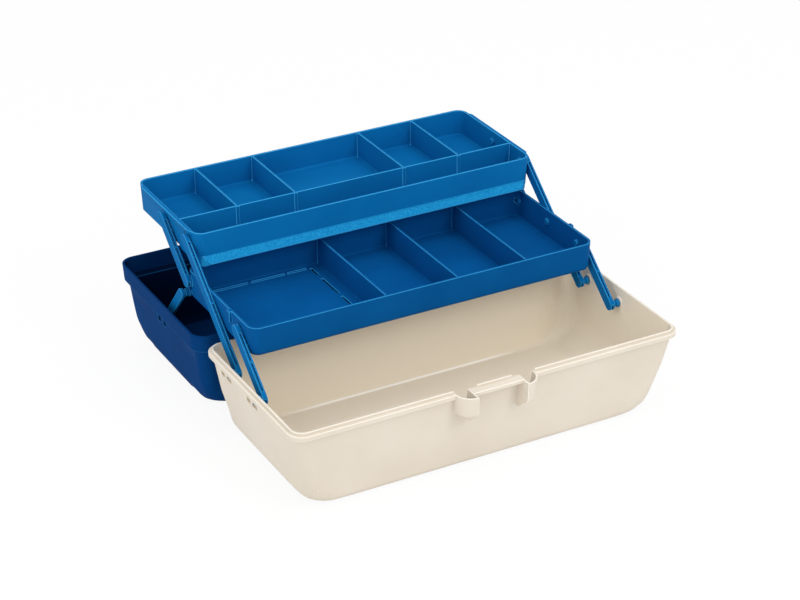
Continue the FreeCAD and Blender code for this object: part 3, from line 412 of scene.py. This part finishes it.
# edge: radius of the softened edges in mm; flat: angle in degrees under which neighbouring facets are merged.
# the inside entry, in mm, mm2 and parts of a unit normal: where the faces that look into the moulding lie, painted
# light on the tub and painted shade on the lid, with the floor fillet's painted highlight and the recess bottoms'
# painted shade.
mouldings = {
    "base_tub": {"piece": "tubShell", "slot": "cream_shell", "plastic": creamPolypropylene,
                 "edgeHighlightPlastic": creamEdgeHighlight, "insidePlastic": creamInsideLight, "valleyHighlightPlastic": creamValleyHighlight,
                 "recessShadePlastic": creamRecessShade, "edge": 0.45, "flat": 0.5, "outwardOnly": True,
                 "corners": lowerCorners,
                 "inside": {"middleY": 0.0, "height": (3.5, 83.5), "reachY": 88.5, "inward": 0.1, "upward": 0.6,
                            "valleyHighlight": {"top": 16.0, "fromY": 60.0, "toX": 128.0, "slope": (0.42, 0.86),
                                       "across": 0.25},
                            "window": {"area": (60.0, 76.0), "endward": 0.98, "height": (75.0, 77.0)}}},
    "lid": {"piece": "lidShell", "slot": "navy_shell", "plastic": navyPolypropylene, "edgeHighlightPlastic": navyEdgeHighlight,
            "insidePlastic": navyInsideShade, "edge": 0.45, "flat": 0.5, "outwardOnly": True, "corners": lowerCorners,
            "inside": {"middleY": 206.2, "height": (3.5, 83.5), "reachY": 88.5, "inward": 0.1, "upward": 0.6}},
    "upper_tray": {"piece": "upperTray", "plastic": bandedPolypropylene, "edgeHighlightPlastic": blueEdgeHighlight,
                   "edge": 0.45, "flat": 0.5, "slot": "blue_moulding"},
    "lower_tray": {"piece": "lowerTray", "plastic": deepBluePolypropylene, "edgeHighlightPlastic": deepBlueEdgeHighlight,
                   "edge": 0.45, "flat": 0.5, "slot": "blue_moulding"},
    "latch": {"piece": "latchFlap", "plastic": creamPolypropylene, "edgeHighlightPlastic": creamEdgeHighlight,
              "edge": 0.35, "flat": 0.5, "slot": "cream_moulding"},
    "handle": {"piece": "carryingHandle", "plastic": creamPolypropylene, "edgeHighlightPlastic": creamPolypropylene,
               "edge": 1.4, "flat": 0.5, "slot": "cream_moulding"},
}
for side, suffix in (("left", "Left"), ("right", "Right")):
    for part, piece in (("long_arm_", "longArm"), ("front_arm_", "frontArm"), ("short_arm_", "shortArm"),
                        ("lid_link_", "lidLink"), ("link_stud_", "linkStud")):
        mouldings[part + side] = {"piece": piece + suffix, "plastic": bluePolypropylene, "edgeHighlightPlastic": blueEdgeHighlight,
                                  "edge": 0.28, "flat": 0.3, "slot": "blue_moulding"}
for nodeName, look in mouldings.items():
    softened(nodeName, look)
    print("softened", nodeName)

finishes = {"base_tub": creamPolypropylene, "lid": navyPolypropylene, "latch": creamPolypropylene,
            "handle": creamPolypropylene, "latch_pin": drawnSteelRod, "hinge_pin_left": drawnSteelRod,
            "hinge_pin_right": drawnSteelRod}
for nodeName, obj in nodes.items():
    obj.data.materials.clear()
    obj.data.materials.append(finishes.get(nodeName, bluePolypropylene))
print("finishes set")

# Places and sizes in m, angles in degrees, lens, sensor and paper fibre in mm. The lamps are soft panels aimed
# at the box.
studio = {
    "cameraPlace": (-0.92727, -1.59944, 1.11413),
    "azimuth": -28.83,
    "elevation": 28.04,
    "lens": 102.36,
    "sensor": 36.0,
    "cameraEnd": 50.0,
    "floor": 8.0,
    "floorDrop": 0.0004,
    "floorWhite": 0.92,
    "paper": {"fibre": 4.0, "dark": 0.88, "light": 0.92},
    "worldStrength": 0.78,
    "lamps": {
        "key": {"place": (0.7, -2.2, 1.95), "target": (0.0, 0.05, 0.1), "size": 1.0, "watts": 18.0},
        "top": {"place": (0.1, -0.7, 2.2), "target": (0.0, 0.05, 0.1), "size": 1.2, "watts": 12.0},
        "fill": {"place": (-2.2, -0.6, 1.3), "target": (0.0, 0.1, 0.1), "size": 1.8, "watts": 13.0},
    },
}


def areaLamp(name, look):
    data = bpy.data.lights.new(name, "AREA")
    data.size = look["size"]
    data.energy = look["watts"]
    lamp = bpy.data.objects.new(name, data)
    lamp.location = look["place"]
    lamp.rotation_euler = (Vector(look["target"]) - Vector(look["place"])).to_track_quat("-Z", "Y").to_euler()
    scene.collection.objects.link(lamp)


cameraData = bpy.data.cameras.new("camera")
cameraData.sensor_width = studio["sensor"]
cameraData.lens = studio["lens"]
cameraData.clip_end = studio["cameraEnd"]
camera = bpy.data.objects.new("camera", cameraData)
camera.location = studio["cameraPlace"]
camera.rotation_euler = (math.radians(90 - studio["elevation"]), 0.0, math.radians(studio["azimuth"]))
scene.collection.objects.link(camera)
scene.camera = camera

for lampName, look in studio["lamps"].items():
    areaLamp(lampName, look)


def paleRays(tree):
    # one for camera, glossy and transmission rays, nought for the rest
    path = addNode(tree, "ShaderNodeLightPath")
    first = addNode(tree, "ShaderNodeMath", {"operation": "MAXIMUM"},
                    {0: path.outputs["Is Camera Ray"], 1: path.outputs["Is Glossy Ray"]})
    second = addNode(tree, "ShaderNodeMath", {"operation": "MAXIMUM"},
                     {0: first.outputs["Value"], 1: path.outputs["Is Transmission Ray"]})
    return second.outputs["Value"]


world = bpy.data.worlds.new("studioWorld")
world.use_nodes = True
scene.world = world
tree = world.node_tree
tree.nodes.clear()
lit = addNode(tree, "ShaderNodeBackground", {"Strength": studio["worldStrength"], "Color": (1, 1, 1, 1)})
seen = addNode(tree, "ShaderNodeBackground", {"Strength": 1.0, "Color": (1, 1, 1, 1)})
mix = addNode(tree, "ShaderNodeMixShader", {}, {0: paleRays(tree), 1: lit.outputs[0], 2: seen.outputs[0]})
addNode(tree, "ShaderNodeOutputWorld", {}, {"Surface": mix.outputs[0]})

# White paper sweep: nearly pure white to the eye, grey only where the box shades it.
bpy.ops.object.select_all(action="DESELECT")
bpy.ops.mesh.primitive_plane_add(size=studio["floor"], location=(0, 0, -studio["floorDrop"]))
floor = bpy.context.object
floor.name = "studioFloor"
material, tree = newMaterial("whitePaper")
fibre = addNode(tree, "ShaderNodeTexNoise", {"Scale": perMillimetre(studio["paper"]["fibre"]), "Detail": 3.0},
                {"Vector": addNode(tree, "ShaderNodeTexCoord").outputs["Object"]})
greys = [(studio["paper"][tone],) * 3 + (1.0,) for tone in ("dark", "light")]
paperColour = mixed(tree, fibre.outputs["Fac"], greys[0], greys[1])
paper = addNode(tree, "ShaderNodeBsdfDiffuse", {}, {"Color": paperColour})
glow = addNode(tree, "ShaderNodeEmission", {"Color": (1, 1, 1, 1), "Strength": 1.0})
share = addNode(tree, "ShaderNodeMath", {"operation": "MULTIPLY", 1: studio["floorWhite"]}, {0: paleRays(tree)})
mix = addNode(tree, "ShaderNodeMixShader", {}, {0: share.outputs["Value"], 1: paper.outputs[0], 2: glow.outputs[0]})
addNode(tree, "ShaderNodeOutputMaterial", {}, {"Surface": mix.outputs[0]})
floor.data.materials.append(material)

scene.view_settings.view_transform = "Standard"
print("studio set")
